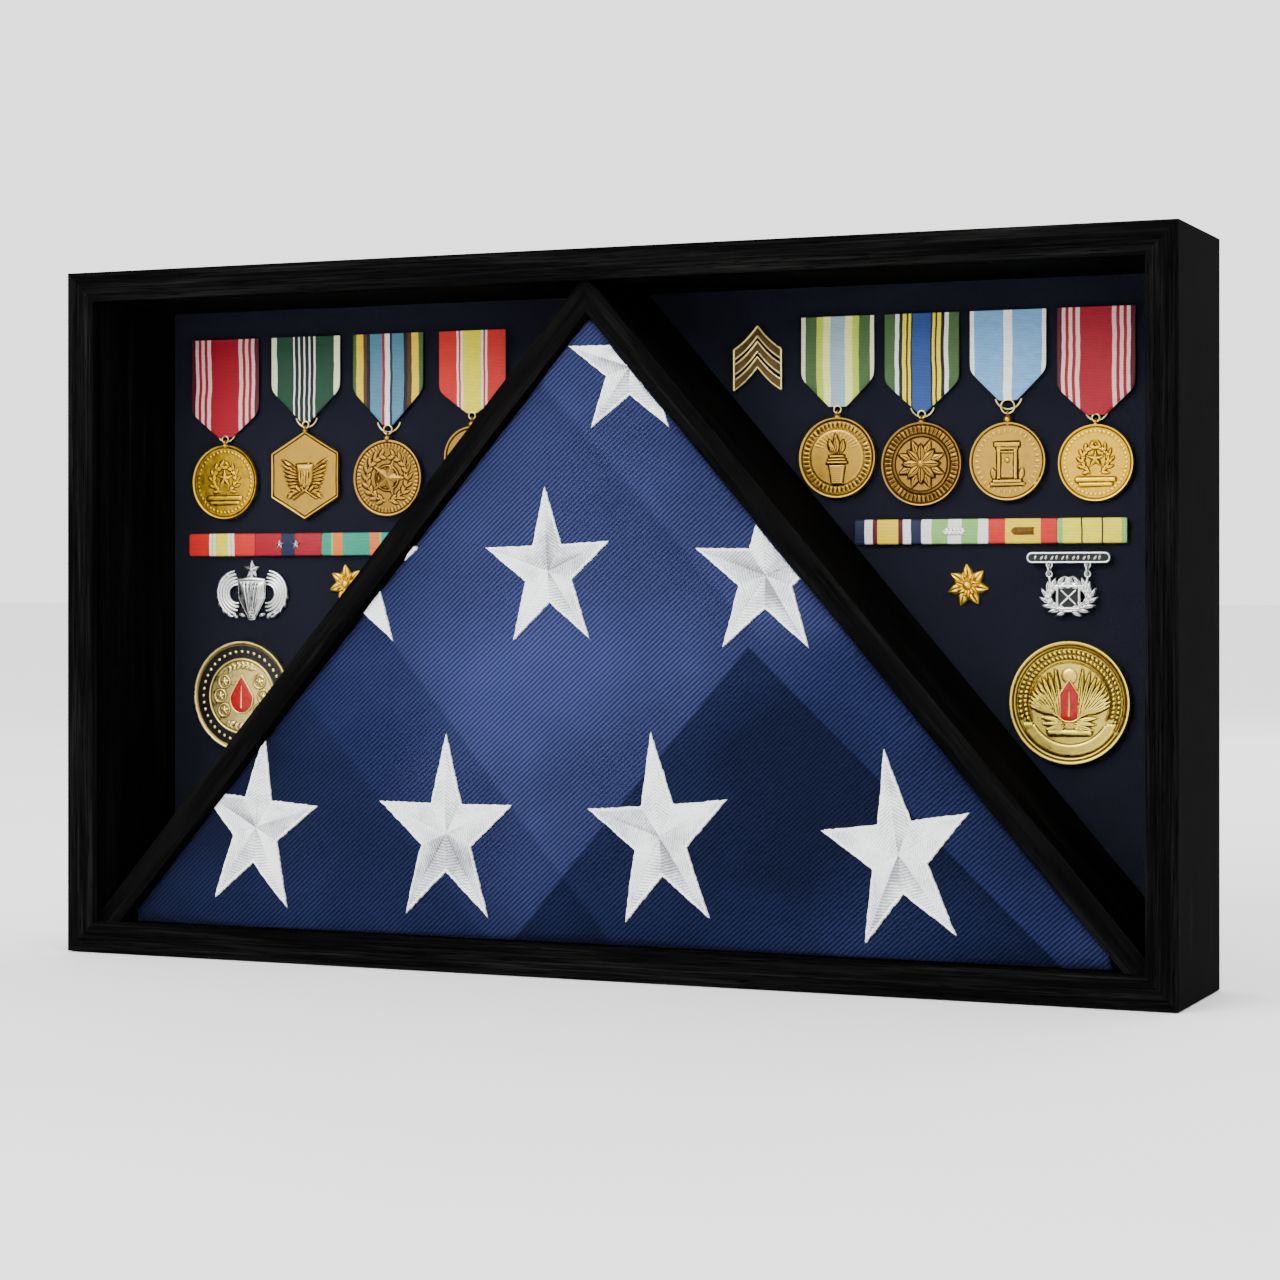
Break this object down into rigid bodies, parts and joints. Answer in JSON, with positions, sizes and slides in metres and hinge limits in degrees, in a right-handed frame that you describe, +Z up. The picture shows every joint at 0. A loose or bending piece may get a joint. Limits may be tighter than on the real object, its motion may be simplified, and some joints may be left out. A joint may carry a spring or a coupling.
{
  "type": "folded flag display case",
  "caption": "Rectangular glazed shadow-box with a triangular flag space between two slanted dividers and felt-backed medal wings; its back lifts out.",
  "frame": {"origin": "middle of the underside: half way across the case and half way from the glass front to the rear bumpers, on the surface it stands on", "axes": "+X across the case to the right as seen from the glass, +Y from the glass to the back, +Z up"},
  "size_m": [0.58, 0.088, 0.35],
  "materials": {
    "black_wood": "black-stained wood with open grain, satin",
    "zinc_steel": "zinc plated",
    "clear_glass": "clear",
    "flag_cloth": "blue woven bunting with sewn white stars",
    "panel_board": "hardboard",
    "navy_felt": "navy felt",
    "black_rubber": "matt",
    "ribbon_cloth": "ribbed silk ribbon, striped",
    "gold_metal": "gilt, softly worn",
    "bronze_metal": "antique bronze",
    "silver_metal": "oxidised silver"
  },
  "bodies": {
    "case": {"top_rail": "black_wood", "bottom_rail": "black_wood", "left_stile": "black_wood", "right_stile": "black_wood", "corner_v_nails": "zinc_steel", "glass": "clear_glass", "left_divider": "black_wood", "right_divider": "black_wood", "divider_nails": "zinc_steel", "folded_flag": "flag_cloth", "turn_button_screws": "zinc_steel", "sawtooth_hangers": "zinc_steel", "hanger_nails": "zinc_steel", "wall_bumpers": "black_rubber"},
    "back_panel": {"back_panel": "panel_board", "felt_lining": "navy_felt", "ribbon_1": "ribbon_cloth", "ribbon_2": "ribbon_cloth", "ribbon_3": "ribbon_cloth", "ribbon_4": "ribbon_cloth", "ribbon_5": "ribbon_cloth", "ribbon_6": "ribbon_cloth", "ribbon_7": "ribbon_cloth", "ribbon_8": "ribbon_cloth", "suspension_rings": "gold_metal", "medal_brooches": "gold_metal", "mounting_pins": "zinc_steel", "ribbon_rail_left": "zinc_steel", "ribbon_rail_right": "zinc_steel", "service_ribbons_left": "ribbon_cloth", "service_ribbons_right": "ribbon_cloth", "ribbon_devices": "silver_metal", "chevron_pin": "gold_metal", "winged_badge": "silver_metal", "gold_badge_left": "gold_metal", "gold_badge_right": "gold_metal", "hanging_badge_bar": "silver_metal", "coin_left": "gold_metal", "coin_right": "gold_metal", "coin_pads": "black_rubber"},
    "turn_button_1": {"turn_button_1": "zinc_steel"},
    "turn_button_2": {"turn_button_2": "zinc_steel"},
    "turn_button_3": {"turn_button_3": "zinc_steel"},
    "turn_button_4": {"turn_button_4": "zinc_steel"},
    "turn_button_5": {"turn_button_5": "zinc_steel"},
    "turn_button_6": {"turn_button_6": "zinc_steel"},
    "pendant_1": {"pendant_1": "gold_metal"},
    "pendant_2": {"pendant_2": "gold_metal"},
    "pendant_3": {"pendant_3": "bronze_metal"},
    "pendant_4": {"pendant_4": "bronze_metal"},
    "pendant_5": {"pendant_5": "gold_metal"},
    "pendant_6": {"pendant_6": "bronze_metal"},
    "pendant_7": {"pendant_7": "gold_metal"},
    "pendant_8": {"pendant_8": "gold_metal"},
    "hanging_badge": {"hanging_badge_links": "silver_metal", "hanging_badge_wreath": "silver_metal"}
  },
  "joints": [
    {"name": "back_panel_slide", "type": "slide", "parent": "case", "child": "back_panel", "axis": [0, 1, 0], "range_m": [0, 0.12]},
    {"name": "turn_button_1_pivot", "type": "hinge", "parent": "case", "child": "turn_button_1", "pos_m": [-0.12, 0.0411, 0.345], "axis": [0, 1, 0], "range_deg": [0, 90]},
    {"name": "turn_button_2_pivot", "type": "hinge", "parent": "case", "child": "turn_button_2", "pos_m": [0.12, 0.0411, 0.345], "axis": [0, 1, 0], "range_deg": [0, 90]},
    {"name": "turn_button_3_pivot", "type": "hinge", "parent": "case", "child": "turn_button_3", "pos_m": [-0.12, 0.0411, 0.005], "axis": [0, 1, 0], "range_deg": [0, 90]},
    {"name": "turn_button_4_pivot", "type": "hinge", "parent": "case", "child": "turn_button_4", "pos_m": [0.12, 0.0411, 0.005], "axis": [0, 1, 0], "range_deg": [0, 90]},
    {"name": "turn_button_5_pivot", "type": "hinge", "parent": "case", "child": "turn_button_5", "pos_m": [-0.285, 0.0411, 0.175], "axis": [0, 1, 0], "range_deg": [0, 90]},
    {"name": "turn_button_6_pivot", "type": "hinge", "parent": "case", "child": "turn_button_6", "pos_m": [0.285, 0.0411, 0.175], "axis": [0, 1, 0], "range_deg": [0, 90]},
    {"name": "pendant_1_swing", "type": "hinge", "parent": "back_panel", "child": "pendant_1", "pos_m": [-0.242, 0.0325, 0.2668], "axis": [0, 1, 0], "range_deg": [-10, 10]},
    {"name": "pendant_2_swing", "type": "hinge", "parent": "back_panel", "child": "pendant_2", "pos_m": [-0.193, 0.0325, 0.2736], "axis": [0, 1, 0], "range_deg": [-10, 10]},
    {"name": "pendant_3_swing", "type": "hinge", "parent": "back_panel", "child": "pendant_3", "pos_m": [-0.144, 0.0325, 0.27], "axis": [0, 1, 0], "range_deg": [-10, 10]},
    {"name": "pendant_4_swing", "type": "hinge", "parent": "back_panel", "child": "pendant_4", "pos_m": [-0.095, 0.0325, 0.2762], "axis": [0, 1, 0], "range_deg": [0, 10]},
    {"name": "pendant_5_swing", "type": "hinge", "parent": "back_panel", "child": "pendant_5", "pos_m": [0.104, 0.0325, 0.2746], "axis": [0, 1, 0], "range_deg": [-4, 2]},
    {"name": "pendant_6_swing", "type": "hinge", "parent": "back_panel", "child": "pendant_6", "pos_m": [0.147, 0.0325, 0.2712], "axis": [0, 1, 0], "range_deg": [-4, 4]},
    {"name": "pendant_7_swing", "type": "hinge", "parent": "back_panel", "child": "pendant_7", "pos_m": [0.19, 0.0325, 0.274], "axis": [0, 1, 0], "range_deg": [-5, 5]},
    {"name": "pendant_8_swing", "type": "hinge", "parent": "back_panel", "child": "pendant_8", "pos_m": [0.233, 0.0325, 0.2676], "axis": [0, 1, 0], "range_deg": [-10, 10]},
    {"name": "hanging_badge_swing", "type": "hinge", "parent": "back_panel", "child": "hanging_badge", "pos_m": [0.22, 0.0314, 0.1983], "axis": [1, 0, 0], "range_deg": [-12, 4]}
  ]
}
